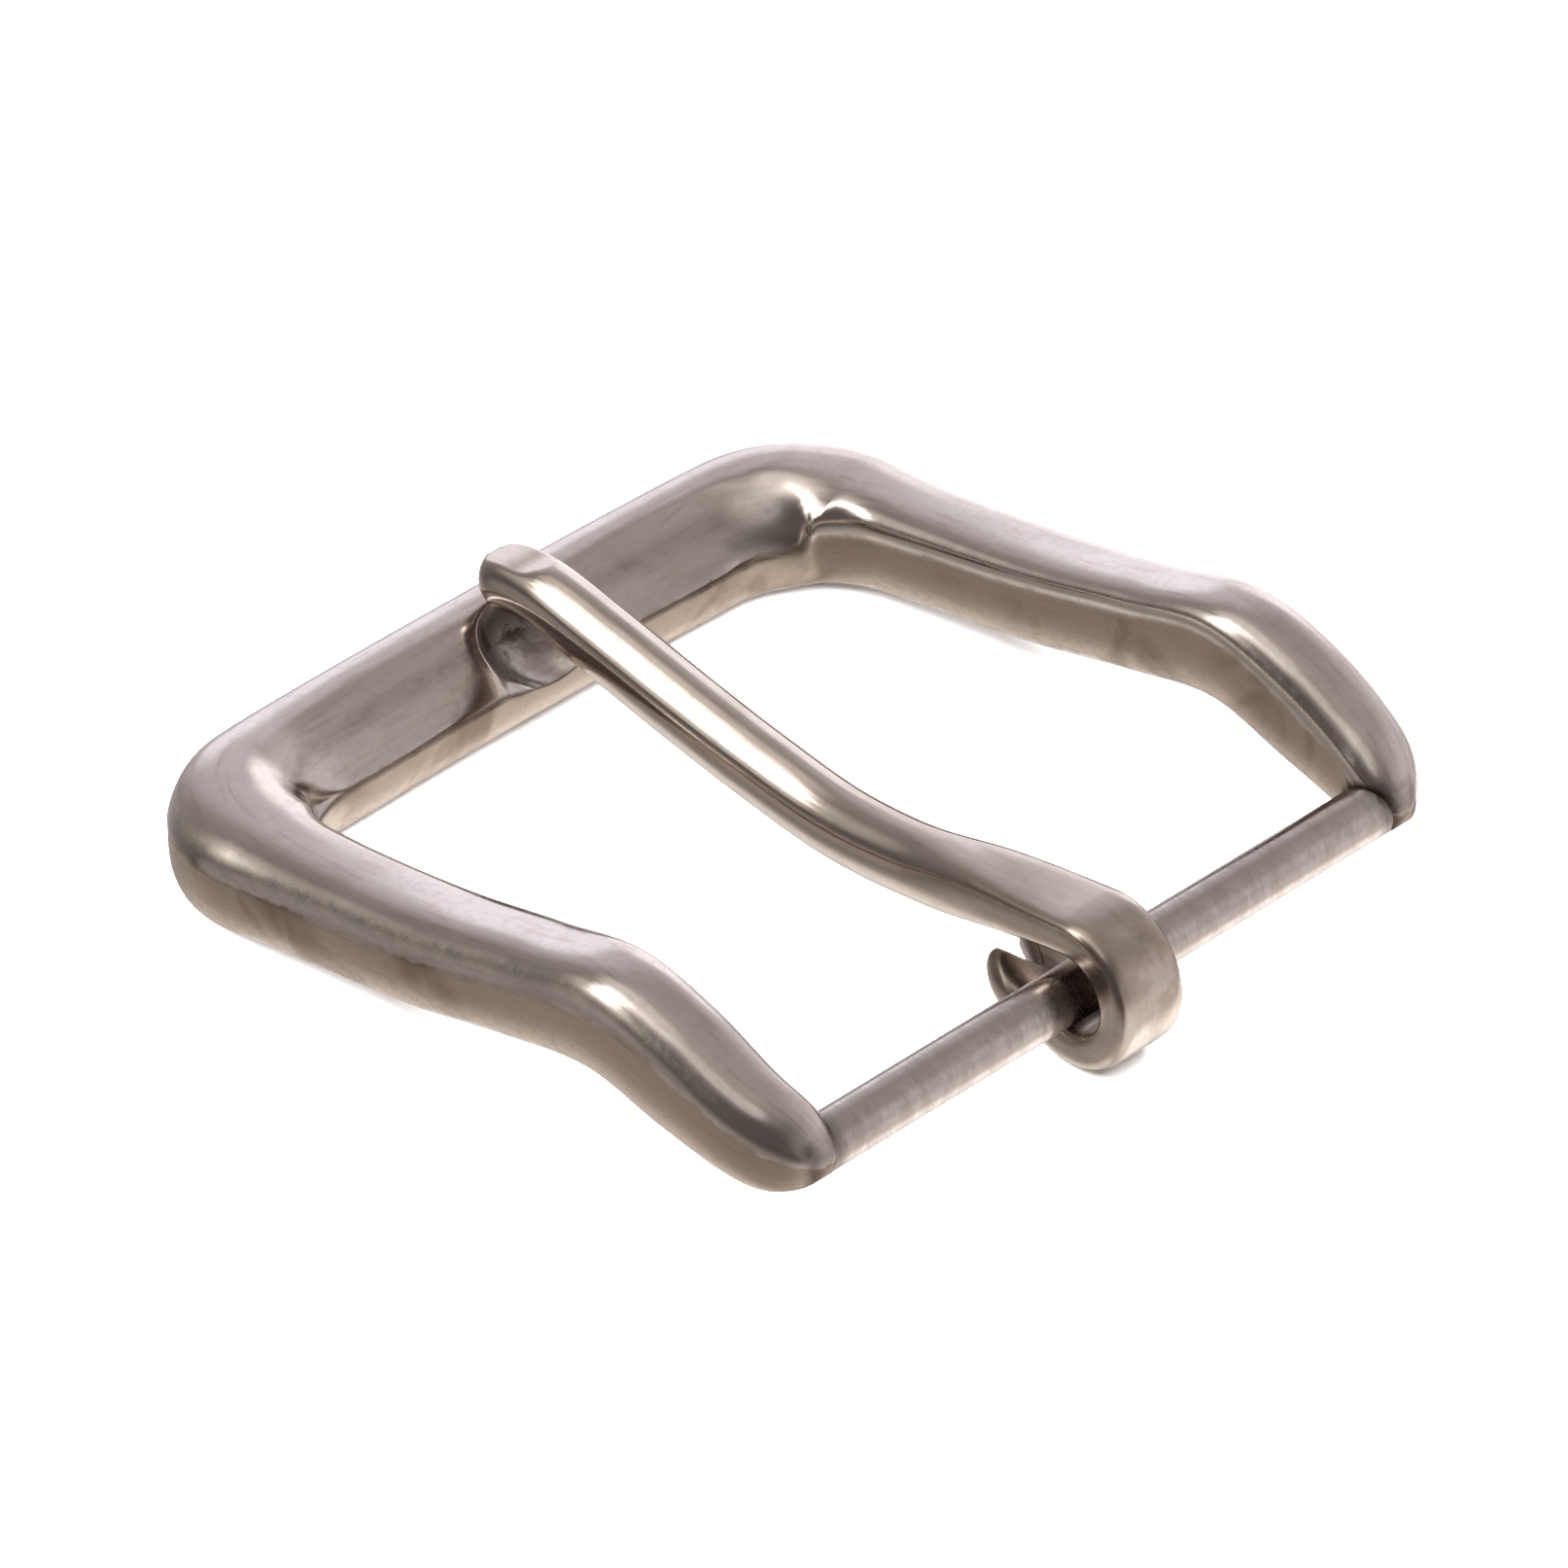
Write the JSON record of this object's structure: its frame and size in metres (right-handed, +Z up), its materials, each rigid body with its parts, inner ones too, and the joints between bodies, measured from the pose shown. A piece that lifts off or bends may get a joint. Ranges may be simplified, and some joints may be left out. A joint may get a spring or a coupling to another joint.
{
  "type": "belt buckle",
  "caption": "Heel-bar belt buckle: a cast U-shaped frame, a round heel bar let into its ends and a tongue curled round the bar, for a 38 mm strap.",
  "frame": {"origin": "bottom centre of the whole buckle's box, on the surface that it lies on face up", "axes": "+X along the heel bar, +Y from the heel bar to the front bar, +Z up to the face"},
  "size_m": [0.051, 0.0514, 0.0107],
  "materials": {
    "frame_metal": "satin antique nickel, cloudy, polished on the humps",
    "bar_steel": "drawn rod, satin",
    "tongue_metal": "satin, more polished than the frame"
  },
  "bodies": {
    "frame": {"frame": "frame_metal", "heel_bar": "bar_steel"},
    "tongue": {"tongue": "tongue_metal"}
  },
  "joints": [
    {"name": "tongue_swing", "type": "hinge", "parent": "frame", "child": "tongue", "pos_m": [0, -0.02108, 0.00405], "axis": [1, 0, 0], "range_deg": [0, 345]}
  ]
}
